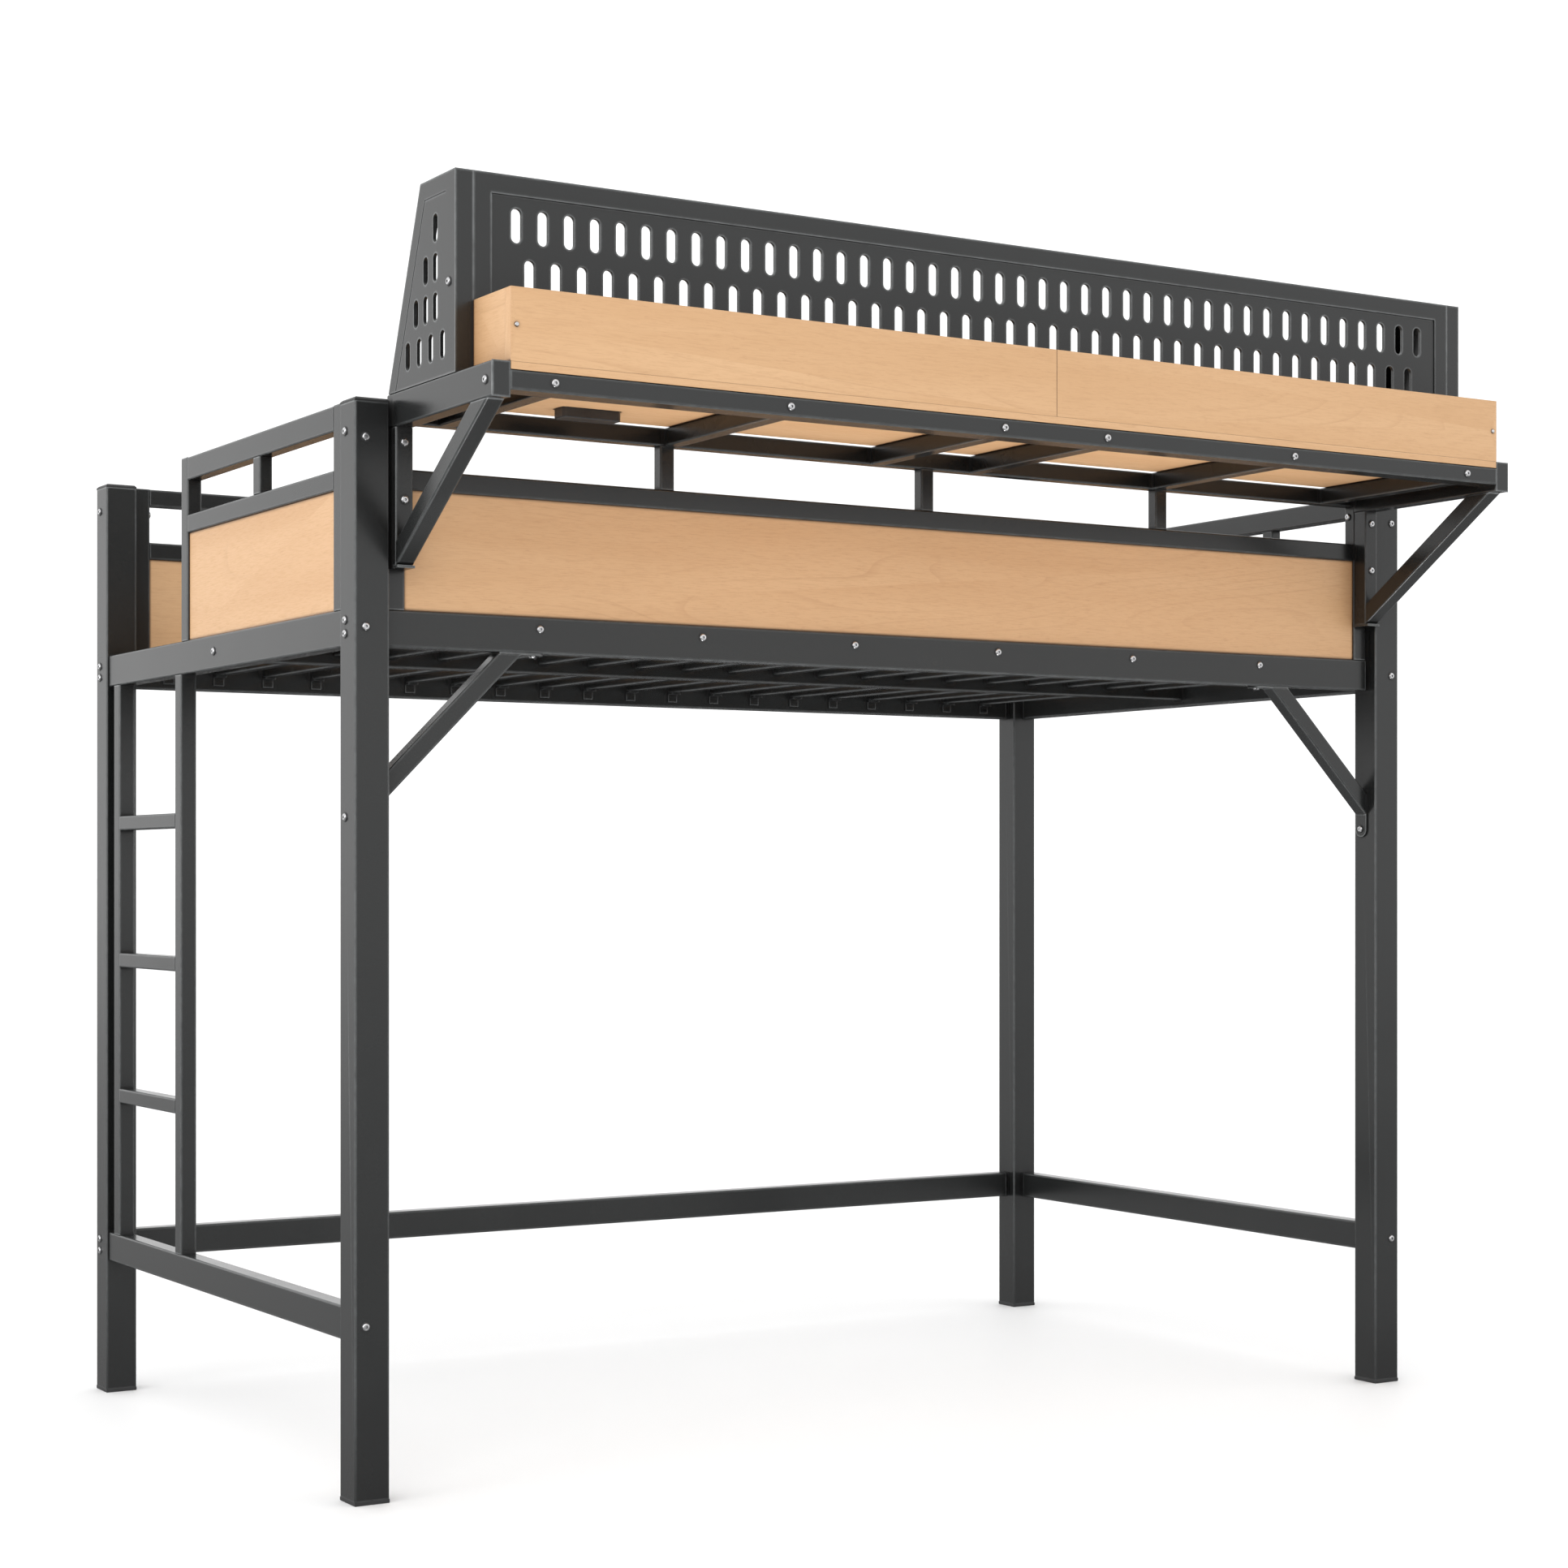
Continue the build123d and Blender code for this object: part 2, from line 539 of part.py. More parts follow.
def wood_screw(x, y, z):
    """Small pan head screw that runs along +Y from a board's front face."""
    head = Pos(0, 0, -1.0) * Cylinder(3.2, 2.0)
    head = fillet(head.edges().filter_by(GeomType.CIRCLE).sort_by(Axis.Z)[0], 1.2)
    shank = Pos(0, 0, 17.0) * Cylinder(1.75, 34.0)
    place = Plane(origin=(x, y, z), z_dir=(0, 1, 0)).location
    hole = place * (Pos(0, 0, 17.5) * Cylinder(1.85, 35.0))
    return place * (head + shank), hole


screw_x = sum(side_board_x) / 2
screws = [wood_screw(x, SHELF_FRONT, 1673.0) for x in (-screw_x, screw_x)]


# ---------------------------------------------------------------- pegboard and power unit
def turned_edges(places, size):
    """Flat rings round slots of one size, for the collars behind a sheet."""
    wide, high = (value + 2 * COLLAR_WALL for value in size)
    ring = SlotOverall(high, wide, rotation=90) - SlotOverall(size[1], size[0], rotation=90)
    return Sketch() + [place * ring for place in places]


def pegboard():
    """Folded sheet between the wings: a border, a field set back inside it, and slots."""
    low, high = SHELF_TOP, PEG_TOP
    border = 28.5
    step = 2.0
    middle = (low + high) / 2
    front = Plane(origin=(0, PEG_FRONT, middle), x_dir=(1, 0, 0), z_dir=(0, 1, 0))
    half = STILE_IN_X
    field = (2 * (half - border), high - low - 2 * border)
    ring = Rectangle(2 * half, high - low) - Rectangle(*field)
    lip = Rectangle(field[0] + 2 * SHEET, field[1] + 2 * SHEET) - Rectangle(*field)
    places = []
    for row, count in enumerate((42, 41, 42)):
        z = SLOT_TOP_ROW - row * SLOT_ROW_PITCH
        for k in range(count):
            places.append(Pos((k - (count - 1) / 2) * SLOT_PITCH, middle - z))
    slot = SlotOverall(SLOT[1], SLOT[0], rotation=90)
    slots = Sketch() + [place * slot for place in places]
    sheet = extrude(front * ring, SHEET)
    sheet += extrude(front * lip, SHEET + step)
    sheet += extrude(front.offset(step) * (Rectangle(*field) - slots), SHEET)
    collars = extrude(front.offset(step) * turned_edges(places, SLOT), COLLAR_DEEP)
    sheet += collars
    flange_y = (PEG_FRONT, PEG_FRONT + FLANGE)
    sheet += block((-half, half), flange_y, (high - SHEET, high))
    sheet += block((-half, half), flange_y, (low, low + SHEET))
    sheet += block((half - SHEET, half), flange_y, (low, high))
    sheet += block((-half, SHEET - half), flange_y, (low, high))
    return sheet


def wing():
    """Right wing: a sloping side sheet with slots and a bead, and a flange in front."""
    outer = FRAME_X
    foot_rear = (WING_FOOT_REAR, SHELF_TOP)
    top_rear = (WING_TOP_REAR, PEG_TOP)
    lean = math.atan2(WING_FOOT_REAR - WING_TOP_REAR, PEG_TOP - SHELF_TOP)
    thick_y = SHEET / math.cos(lean)
    outline = Plane.YZ * Polygon(
        (PEG_FRONT, SHELF_TOP), foot_rear, top_rear, (PEG_FRONT, PEG_TOP), align=None
    )
    strip = Plane.YZ * Polygon(
        foot_rear,
        top_rear,
        (WING_TOP_REAR - thick_y, PEG_TOP),
        (WING_FOOT_REAR - thick_y, SHELF_TOP),
        align=None,
    )
    side = Pos(outer - SHEET, 0, 0) * extrude(outline, SHEET)
    rows = (
        (1836.0, (-147.0,)),
        (1780.0, (-147.0, -114.0)),
        (1724.0, (-147.0, -114.0, -81.0)),
        (1667.0, (-171.0, -131.5, -92.0, -52.5)),
    )
    places = [Pos(y, z) for z, columns in rows for y in columns]
    slot = SlotOverall(WING_SLOT[1], WING_SLOT[0], rotation=90)
    slots = Sketch() + [place * slot for place in places]
    side -= Pos(outer - 2 * SHEET, 0, 0) * extrude(Plane.YZ * slots, 3 * SHEET)
    collars = extrude(Plane.YZ * turned_edges(places, WING_SLOT), COLLAR_DEEP - SHEET)
    side += Pos(outer - COLLAR_DEEP, 0, 0) * collars
    inset = 24.0
    back_in = inset / math.cos(lean)
    groove_top = PEG_TOP - inset - 3.0
    corner_y = WING_TOP_REAR - back_in + (PEG_TOP - groove_top) * math.tan(lean)
    groove = Polyline(
        (PEG_FRONT + 31.0, groove_top),
        (corner_y, groove_top),
        (WING_FOOT_REAR - back_in, SHELF_TOP + 1.0),
    )
    side -= Pos(outer - 0.6, 0, 0) * extrude(Plane.YZ * trace(groove, 2.0), 1.0)
    flange = block((STILE_IN_X, outer), (PEG_FRONT, PEG_FRONT + SHEET), (SHELF_TOP, PEG_TOP))
    foot_y = (PEG_FRONT, WING_FOOT_REAR - thick_y)
    foot = block((STILE_IN_X, outer), foot_y, (SHELF_TOP, SHELF_TOP + SHEET))
    top = block((STILE_IN_X, outer), (PEG_FRONT, WING_TOP_REAR), (PEG_TOP - SHEET, PEG_TOP))
    rear = Pos(outer - WING_RETURN, 0, 0) * extrude(strip, WING_RETURN)
    return side + flange + foot + top + rear


def power_housing():
    """Closed housing that hangs through the desktop, with a cable inlet in its back face."""
    clear = 0.3
    x = (POWER_X[0] + clear, POWER_X[1] - clear)
    y = (POWER_Y[0] + clear, POWER_Y[1] - clear)
    body = block(x, y, (POWER_BOTTOM, SHELF_TOP))
    body = chamfer(body.edges().filter_by(Axis.Z), 5.0)
    body = fillet(body.faces().sort_by(Axis.Z)[0].edges(), 2.0)
    inside = block((x[0] + 3, x[1] - 3), (y[0] + 3, y[1] - 3), (POWER_BOTTOM + 2.5, SHELF_TOP))
    inlet_x = x[0] + 16.0
    inlet = Plane(origin=(inlet_x, y[1] - 4.0, POWER_BOTTOM + 7.5), z_dir=(0, 1, 0)).location
    gland = inlet * (Pos(0, 0, 5.5) * (Cylinder(4.5, 11.0) - Cylinder(2.6, 11.0)))
    bore = inlet * (Pos(0, 0, 2.0) * Cylinder(4.5, 8.0))
    return body - inside - bore + gland


def power_faceplate():
    """Plate on top of the desktop with a socket recess and two charging ports."""
    rim = 8.0
    x = (POWER_X[0] - rim, POWER_X[1] + rim)
    y = (POWER_Y[0] - rim, POWER_Y[1] + rim)
    plate = block(x, y, (SHELF_TOP, SHELF_TOP + 3.0))
    plate = fillet(plate.edges().filter_by(Axis.Z), 6.0)
    plate = chamfer(plate.faces().sort_by(Axis.Z)[-1].edges(), 1.0)
    middle_y = sum(POWER_Y) / 2
    socket_x = POWER_X[0] + 34.0
    recess = Pos(socket_x, middle_y, SHELF_TOP + 3.0) * Cylinder(15.0, 3.0)
    plate -= recess
    for dx in (-6.0, 6.0):
        plate -= Pos(socket_x + dx, middle_y, SHELF_TOP) * Cylinder(2.0, 8.0)
    for x_port in (POWER_X[1] - 34.0, POWER_X[1] - 16.0):
        plate -= Pos(x_port, middle_y, SHELF_TOP + 2.0) * Box(12.5, 5.0, 6.0)
    return plate


# ---------------------------------------------------------------- threaded end plugs
plugged = [front_rail, back_rail, left_rail, right_rail, centre_beam, shelf_front_rail]
plugged += [back_stretcher, left_stretcher, right_stretcher] + cross_members
plugs = []
for tube in plugged:
    plugs += [tube.plug(False), tube.plug(True)]
for row, at_high in ((front_slats, False), (back_slats, True)):
    for body, _ in row:
        if any(abs(sum(body.x) / 2 - x) < 1.0 for x in BOLTED_SLATS):
            plugs.append(body.plug(at_high))

# ---------------------------------------------------------------- the parts, by name
right_bracket_caps = bracket_caps()
power = {"power_housing": power_housing(), "power_faceplate": power_faceplate()}

parts = {
    "post_front_left": [left_posts[0]],
    "post_back_left": [left_posts[1]],
    "post_front_right": [right_posts[0]],
    "post_back_right": [right_posts[1]],
    "post_caps": post_pads(POST_TOP - PAD, POST_TOP - PAD - PLUG_DEEP, True),
    "post_feet": post_pads(0.0, PAD, False),
    "deck_rail_front": [front_rail.solid()],
    "deck_rail_back": [back_rail.solid()],
    "deck_rail_left": [left_rail.solid()],
    "deck_rail_right": [right_rail.solid()],
    "deck_centre_beam": [centre_beam.solid()],
    "deck_slats_front": [solid for _, solid in front_slats],
    "deck_slats_back": [solid for _, solid in back_slats],
    "stretcher_left": [left_stretcher.solid()],
    "stretcher_right": [right_stretcher.solid()],
    "stretcher_back": [back_stretcher.solid()],
    "ladder_upright_front": [ladder_front],
    "ladder_upright_back": [ladder_back],
    "ladder_rungs": rungs,
    "knee_brace_left": [knee_brace()],
    "knee_brace_right": [on_right(knee_brace())],
    "guard_front_stiles": front_guard[0],
    "guard_front_mid_rail": [front_guard[1]],
    "shelf_rear_rail": [front_guard[2]],
    "guard_front_balusters": front_guard[3],
    "guard_front_panel": [front_guard[4]],
    "guard_back_stiles": back_guard[0],
    "guard_back_mid_rail": [back_guard[1]],
    "guard_back_top_rail": [back_guard[2]],
    "guard_back_balusters": back_guard[3],
    "guard_back_panel": [back_guard[4]],
    "guard_right_stiles": right_guard[0],
    "guard_right_mid_rail": [right_guard[1]],
    "guard_right_top_rail": [right_guard[2]],
    "guard_right_balusters": right_guard[3],
    "guard_right_panel": [right_guard[4]],
    "guard_left_stiles": [on_right(s) for s in left_guard[0]],
    "guard_left_mid_rail": [on_right(left_guard[1])],
    "guard_left_top_rail": [on_right(left_guard[2])],
    "guard_left_baluster": [on_right(s) for s in left_guard[3]],
    "guard_left_panel": [on_right(left_guard[4])],
    "bracket_arms": [right_arm.solid(), on_right(right_arm.solid())],
    "bracket_uprights": [right_upright.solid(), on_right(right_upright.solid())],
    "bracket_diagonals": [diagonal(), on_right(diagonal())],
    "bracket_caps": right_bracket_caps + [on_right(s) for s in right_bracket_caps],
    "shelf_front_rail": [shelf_front_rail.solid()],
    "shelf_cross_members": [tube.solid() for tube in cross_members],
    "desktop": [desktop],
    "box_front_boards": front_boards,
    "box_side_boards": [side_board, on_right(side_board)],
    "box_batten": [batten],
    "pegboard": [pegboard()],
    "pegboard_wings": [wing(), on_right(wing())],
    "power_housing": [power["power_housing"]],
    "power_faceplate": [power["power_faceplate"]],
    "threaded_end_plugs": plugs,
}

holes = [hole for _, hole in screws]
for name in ("box_front_boards", "box_side_boards"):
    for hole in holes:
        parts[name] = [solid - hole for solid in parts[name]]
for name in parts:
    parts[name] = [bored(solid) for solid in parts[name]]
parts["frame_spacers"] = spacers
parts["frame_bolts"] = [bolt.solid() for bolt in bolts]
parts["frame_nuts"] = nuts
parts["wood_screws"] = [screw for screw, _ in screws]

# ---------------------------------------------------------------- write the parts
everything = [solid.bounding_box() for solids in parts.values() for solid in solids]
low_y = min(box.min.Y for box in everything)
high_y = max(box.max.Y for box in everything)
to_footprint_centre = Pos(0, -(low_y + high_y) / 2, 0)

os.makedirs("parts", exist_ok=True)
for name, solids in parts.items():
    placed = [to_footprint_centre * solid for solid in solids]
    whole = placed[0] if len(placed) == 1 else Compound(children=placed)
    export_step(whole, f"parts/{name}.step")
print(len(parts), "parts; footprint centre was at Y", (low_y + high_y) / 2)
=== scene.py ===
import json
import math

import bmesh
import bpy
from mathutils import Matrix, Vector


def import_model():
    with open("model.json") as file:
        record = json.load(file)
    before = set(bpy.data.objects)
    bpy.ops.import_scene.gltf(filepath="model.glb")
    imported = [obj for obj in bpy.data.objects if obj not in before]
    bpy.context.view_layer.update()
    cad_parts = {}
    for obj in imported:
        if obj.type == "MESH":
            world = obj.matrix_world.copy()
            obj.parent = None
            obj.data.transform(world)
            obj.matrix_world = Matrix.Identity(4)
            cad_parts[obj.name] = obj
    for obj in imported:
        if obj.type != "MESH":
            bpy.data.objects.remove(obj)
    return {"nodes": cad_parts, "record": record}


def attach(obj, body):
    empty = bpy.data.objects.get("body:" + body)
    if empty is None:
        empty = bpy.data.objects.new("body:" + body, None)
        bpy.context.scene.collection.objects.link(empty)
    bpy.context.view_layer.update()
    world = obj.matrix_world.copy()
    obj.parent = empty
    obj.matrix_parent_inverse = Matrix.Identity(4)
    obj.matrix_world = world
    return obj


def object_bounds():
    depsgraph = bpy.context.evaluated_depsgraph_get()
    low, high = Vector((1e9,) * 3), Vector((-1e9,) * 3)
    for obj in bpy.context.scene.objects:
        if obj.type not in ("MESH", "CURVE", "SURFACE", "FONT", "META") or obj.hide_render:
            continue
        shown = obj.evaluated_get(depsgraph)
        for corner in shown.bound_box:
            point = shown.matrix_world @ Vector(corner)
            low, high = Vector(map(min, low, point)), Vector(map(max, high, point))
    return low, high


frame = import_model()
nodes = frame["nodes"]
cad_low, cad_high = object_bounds()

MM = 0.001

# linear colours
COAT_DARK = (0.012, 0.013, 0.013)
COAT_LIGHT = (0.015, 0.016, 0.016)
COAT_SPECK = (0.040, 0.042, 0.042)
# painted highlight colour for the coat's edges
COAT_EDGE_HIGHLIGHT = (0.240, 0.252, 0.255)
COAT_PAINTED_SHADE = (0.004, 0.004, 0.004)
WOOD_DEEP = (0.560, 0.330, 0.165)
WOOD_MIDDLE = (0.605, 0.370, 0.195)
WOOD_PALE = (0.645, 0.407, 0.222)
WOOD_LINE = (0.420, 0.225, 0.105)
WOOD_FIBRE = (0.470, 0.268, 0.132)
# painted highlight colour for the board edges
WOOD_EDGE_HIGHLIGHT = (0.780, 0.560, 0.350)
# painted shade colours for the wood near other parts and in seams
WOOD_NOOK_SHADE = (0.420, 0.200, 0.080)
WOOD_SEAM_SHADE = (0.100, 0.046, 0.019)
PLATED_TINT = (0.66, 0.66, 0.67)
ZINC_TINT = (0.50, 0.50, 0.50)
STEEL_SOCKET_SHADE = (0.012, 0.012, 0.012)
BLACK_DARK = (0.012, 0.012, 0.012)
BLACK_LIGHT = (0.020, 0.020, 0.021)
POWER_DARK = (0.018, 0.018, 0.019)
POWER_LIGHT = (0.028, 0.028, 0.030)
FLOOR_DARK = (0.94, 0.94, 0.94)
FLOOR_LIGHT = (0.96, 0.96, 0.96)

# sockets of a Mix node set to colours
MIX_FACTOR = 0
MIX_A = 6
MIX_B = 7
MIX_RESULT = 2


# ---------------------------------------------------------------- node helpers
class Tree:
    """Short-hand for adding nodes to a node tree and joining them."""

    def __init__(self, tree):
        self.tree = tree

    def node(self, kind, **values):
        made = self.tree.nodes.new(kind)
        for key, value in values.items():
            setattr(made, key, value)
        return made

    def link(self, source, target):
        self.tree.links.new(source, target)

    def feed(self, socket, value):
        """Gives a socket a number, a colour or another node's output."""
        if isinstance(value, float):
            socket.default_value = value
        elif isinstance(value, tuple):
            socket.default_value = (*value, 1.0)
        else:
            self.link(value, socket)

    def ramp(self, value, stops):
        """Colour ramp through (position, colour) stops."""
        made = self.node("ShaderNodeValToRGB")
        elements = made.color_ramp.elements
        while len(elements) < len(stops):
            elements.new(0.5)
        for element, (position, colour) in zip(elements, stops):
            element.position = position
            element.color = (*colour, 1.0)
        self.link(value, made.inputs["Fac"])
        return made.outputs["Color"]

    def grey_ramp(self, value, low, high, from_value=0.0, to_value=1.0):
        """Maps low..high of a value to from_value..to_value, clamped."""
        made = self.node("ShaderNodeMapRange")
        made.inputs["From Min"].default_value = low
        made.inputs["From Max"].default_value = high
        made.inputs["To Min"].default_value = from_value
        made.inputs["To Max"].default_value = to_value
        self.link(value, made.inputs["Value"])
        return made.outputs["Result"]

    def mix(self, factor, a, b):
        made = self.node("ShaderNodeMix", data_type="RGBA")
        self.feed(made.inputs[MIX_FACTOR], factor)
        self.feed(made.inputs[MIX_A], a)
        self.feed(made.inputs[MIX_B], b)
        return made.outputs[MIX_RESULT]

    def math(self, operation, a, b=0.0):
        made = self.node("ShaderNodeMath", operation=operation)
        self.feed(made.inputs[0], a)
        self.feed(made.inputs[1], b)
        return made.outputs[0]

    def times(self, a, b):
        return self.math("MULTIPLY", a, b)

    def plus(self, a, b):
        return self.math("ADD", a, b)

    def dot(self, a, b):
        """Dot product of two directions; the second may be a fixed one."""
        made = self.node("ShaderNodeVectorMath", operation="DOT_PRODUCT")
        self.link(a, made.inputs[0])
        if isinstance(b, tuple):
            made.inputs[1].default_value = b
        else:
            self.link(b, made.inputs[1])
        return made.outputs["Value"]


class Look(Tree):
    """One material, with its node tree and its shader."""

    def __init__(self, name):
        self.material = bpy.data.materials.new(name)
        self.material.use_nodes = True
        super().__init__(self.material.node_tree)
        self.shader = self.tree.nodes["Principled BSDF"]

    def place(self, stretch):
        """Object position in metres, scaled per axis."""
        coordinates = self.node("ShaderNodeTexCoord")
        mapping = self.node("ShaderNodeMapping")
        mapping.inputs["Scale"].default_value = stretch
        self.link(coordinates.outputs["Object"], mapping.inputs["Vector"])
        return mapping.outputs["Vector"]

    def noise(self, size=1.0, detail=3.0, rough=0.5, distortion=0.0, stretch=(1, 1, 1), offset=None):
        """Noise of about size waves per metre, times the stretch of each axis."""
        made = self.node("ShaderNodeTexNoise")
        made.inputs["Scale"].default_value = size
        made.inputs["Detail"].default_value = detail
        made.inputs["Roughness"].default_value = rough
        made.inputs["Distortion"].default_value = distortion
        place = self.place(stretch)
        if offset is not None:
            shift = self.node("ShaderNodeVectorMath", operation="ADD")
            self.link(place, shift.inputs[0])
            self.link(offset, shift.inputs[1])
            place = shift.outputs[0]
        self.link(place, made.inputs["Vector"])
        return made.outputs["Fac"]

    def tint(self, base, colour, mask, share):
        """Base colour, with a share of another colour where the mask is 1."""
        return self.mix(self.times(mask, share), base, colour)

    def bump(self, height, distance, strength=1.0, under=None):
        made = self.node("ShaderNodeBump")
        made.inputs["Distance"].default_value = distance
        made.inputs["Strength"].default_value = strength
        self.link(height, made.inputs["Height"])
        if under is not None:
            self.link(under, made.inputs["Normal"])
        return made.outputs["Normal"]

    def rounded_normal(self, radius):
        """Normal that turns smoothly across an edge, within a radius of it."""
        made = self.node("ShaderNodeBevel", samples=4)
        made.inputs["Radius"].default_value = radius
        return made.outputs["Normal"]

    def edge_mask(self, radius):
        """1 near convex and concave edges, 0 on flats."""
        flat_normal = self.node("ShaderNodeNewGeometry").outputs["Normal"]
        agreement = self.dot(self.rounded_normal(radius), flat_normal)
        return self.grey_ramp(agreement, low=0.995, high=0.90)

    def crevice(self, distance, start, full):
        """0 on open faces, rising to 1 in gaps narrower than the distance; an occlusion mask, used to
        paint shade.
        """
        made = self.node("ShaderNodeAmbientOcclusion", samples=8)
        made.inputs["Distance"].default_value = distance
        return self.grey_ramp(made.outputs["AO"], start, full)

    def set(self, **sockets):
        """Feeds the shader's sockets, each named with _ for a space."""
        for key, value in sockets.items():
            self.feed(self.shader.inputs[key.replace("_", " ")], value)


# ---------------------------------------------------------------- materials
def powder_coat():
    """Charcoal powder coat: orange peel, fine speckle, a painted highlight along the edges, painted shade
    in nooks and seams.
    """
    g = Look("charcoal_powder_coat")
    cloud = g.noise(size=6.0, detail=4.0)
    speckle = g.noise(size=1400.0, detail=2.0)
    # patchy noise that breaks up the painted edge highlight
    highlight_breakup = g.noise(size=55.0, detail=5.0, rough=0.65)
    peel = g.noise(size=420.0, detail=2.0)

    light_speck = g.grey_ramp(speckle, low=0.62, high=0.74)
    highlight_strength = g.grey_ramp(highlight_breakup, low=0.30, high=0.62, from_value=0.55, to_value=1.0)
    edge = g.times(g.edge_mask(4.0 * MM), highlight_strength)
    # painted shade: the coat darkens near other parts (nook) and in narrow gaps and seams (seam)
    nook_shade = g.crevice(distance=300 * MM, start=0.92, full=0.45)
    seam = g.crevice(distance=8 * MM, start=0.92, full=0.55)

    base = g.ramp(cloud, [(0.30, COAT_DARK), (0.70, COAT_LIGHT)])
    base = g.tint(base, COAT_SPECK, light_speck, share=0.35)
    # painted highlight: edges lightened where light would catch them
    base = g.tint(base, COAT_EDGE_HIGHLIGHT, edge, share=0.85)
    # painted shade in nooks and seams
    base = g.tint(base, COAT_PAINTED_SHADE, nook_shade, share=0.85)
    base = g.tint(base, COAT_PAINTED_SHADE, seam, share=0.95)

    rough = g.grey_ramp(cloud, low=0.3, high=0.7, from_value=0.18, to_value=0.24)
    rough = g.plus(rough, g.times(nook_shade, 0.05))
    rough = g.plus(rough, g.times(seam, 0.40))
    normal = g.bump(peel, distance=0.18 * MM, strength=0.55)
    normal = g.bump(speckle, distance=0.06 * MM, strength=0.5, under=normal)
    g.set(Base_Color=base, Roughness=rough, Normal=normal, Specular_IOR_Level=0.50)
    return g.material


def maple(name, along, seed):
    """Light maple board: fine fibres along X or Y, a few cathedral lines, a painted highlight along the
    edges, painted shade in nooks and seams.
    """
    g = Look(name)

    # each board takes its grain from another place
    random = g.node("ShaderNodeNewGeometry").outputs["Random Per Island"]
    scaled = g.times(random, 31.0 + seed)
    offset = g.node("ShaderNodeCombineXYZ")
    for socket in offset.inputs:
        g.link(scaled, socket)
    shift = offset.outputs[0]

    def grain(long, cross):
        return (long, cross, cross) if along == "X" else (cross, long, cross)

    tone = g.noise(stretch=grain(0.8, 9.0), offset=shift)
    patch = g.noise(stretch=grain(1.3, 9.0), detail=2.0, offset=shift)
    fibre = g.noise(stretch=grain(34.0, 560.0), rough=0.6, offset=shift)
    fleck = g.noise(stretch=grain(70.0, 1000.0), detail=2.0, offset=shift)

    # growth rings: thin contour lines of a smooth field, which close into cathedrals
    field = g.noise(stretch=grain(0.9, 6.0), detail=1.0, rough=0.35, distortion=0.2, offset=shift)
    rings = g.math("FRACT", g.times(field, 22.0))
    rise = g.grey_ramp(rings, low=0.80, high=0.97)
    fall = g.grey_ramp(rings, low=1.0, high=0.975)
    ring = g.times(g.times(rise, fall), g.grey_ramp(patch, low=0.46, high=0.66))

    # painted highlight along the board edges
    edge = g.edge_mask(0.8 * MM)
    # painted shade: a darker, warmer tint near other parts (nook) and dark lines in narrow gaps (seam)
    nook_shade = g.crevice(distance=120 * MM, start=0.85, full=0.40)
    seam = g.crevice(distance=5 * MM, start=0.95, full=0.70)

    base = g.ramp(tone, [(0.30, WOOD_DEEP), (0.50, WOOD_MIDDLE), (0.74, WOOD_PALE)])
    base = g.tint(base, WOOD_LINE, ring, share=0.34)
    base = g.tint(base, WOOD_FIBRE, g.grey_ramp(fibre, low=0.48, high=0.68), share=0.32)
    base = g.tint(base, WOOD_LINE, g.grey_ramp(fleck, low=0.60, high=0.70), share=0.30)
    base = g.tint(base, WOOD_EDGE_HIGHLIGHT, edge, share=0.25)
    base = g.tint(base, WOOD_NOOK_SHADE, nook_shade, share=0.40)
    base = g.mix(seam, base, WOOD_SEAM_SHADE)

    height = g.plus(g.times(fibre, -0.6), g.times(ring, -0.4))
    normal = g.bump(height, distance=0.10 * MM, strength=0.5, under=g.rounded_normal(1.2 * MM))
    rough = g.grey_ramp(fibre, low=0.35, high=0.65, from_value=0.40, to_value=0.52)
    g.set(
        Base_Color=base,
        Roughness=rough,
        Normal=normal,
        Specular_IOR_Level=0.35,
        Coat_Weight=0.08,
        Coat_Roughness=0.25,
    )
    return g.material


def bright_steel(name, tint, rough):
    """Bright plated fastener, with fine turning marks, a little dulling and painted shade in the sockets.
    """
    g = Look(name)
    cloud = g.noise(size=260.0, detail=4.0)
    mark = g.noise(size=2600.0, detail=2.0)
    duller = tuple(0.72 * c for c in tint)
    # painted shade: darker in the socket and in narrow gaps, where light is hidden
    socket = g.crevice(distance=2.5 * MM, start=0.75, full=0.35)
    base = g.ramp(cloud, [(0.35, duller), (0.65, tint)])
    base = g.mix(socket, base, STEEL_SOCKET_SHADE)
    g.set(
        Base_Color=base,
        Metallic=1.0,
        Roughness=g.grey_ramp(mark, low=0.3, high=0.7, from_value=rough, to_value=rough + 0.12),
        Normal=g.bump(mark, distance=0.02 * MM, strength=0.4),
    )
    return g.material


def moulded(name, dark, light, rough):
    """Moulded plastic with a fine grain and a painted highlight along the edges."""
    g = Look(name)
    cloud = g.noise(size=30.0, detail=3.0)
    grain = g.noise(size=2200.0, detail=2.0)
    # lighter colour for the painted edge highlight
    lighter = tuple(2.4 * c + 0.02 for c in light)
    base = g.ramp(cloud, [(0.3, dark), (0.7, light)])
    base = g.tint(base, lighter, g.edge_mask(0.7 * MM), share=0.5)
    g.set(
        Base_Color=base,
        Roughness=g.grey_ramp(grain, low=0.3, high=0.7, from_value=rough - 0.06, to_value=rough + 0.08),
        Normal=g.bump(grain, distance=0.05 * MM, strength=0.6),
    )
    return g.material


def studio_floor():
    """Nearly white floor with a faint unevenness."""
    g = Look("studio_floor")
    cloud = g.noise(size=1.2, detail=2.0)
    base = g.ramp(cloud, [(0.3, FLOOR_DARK), (0.7, FLOOR_LIGHT)])
    g.set(Base_Color=base, Roughness=0.6, Specular_IOR_Level=0.2)
    return g.material


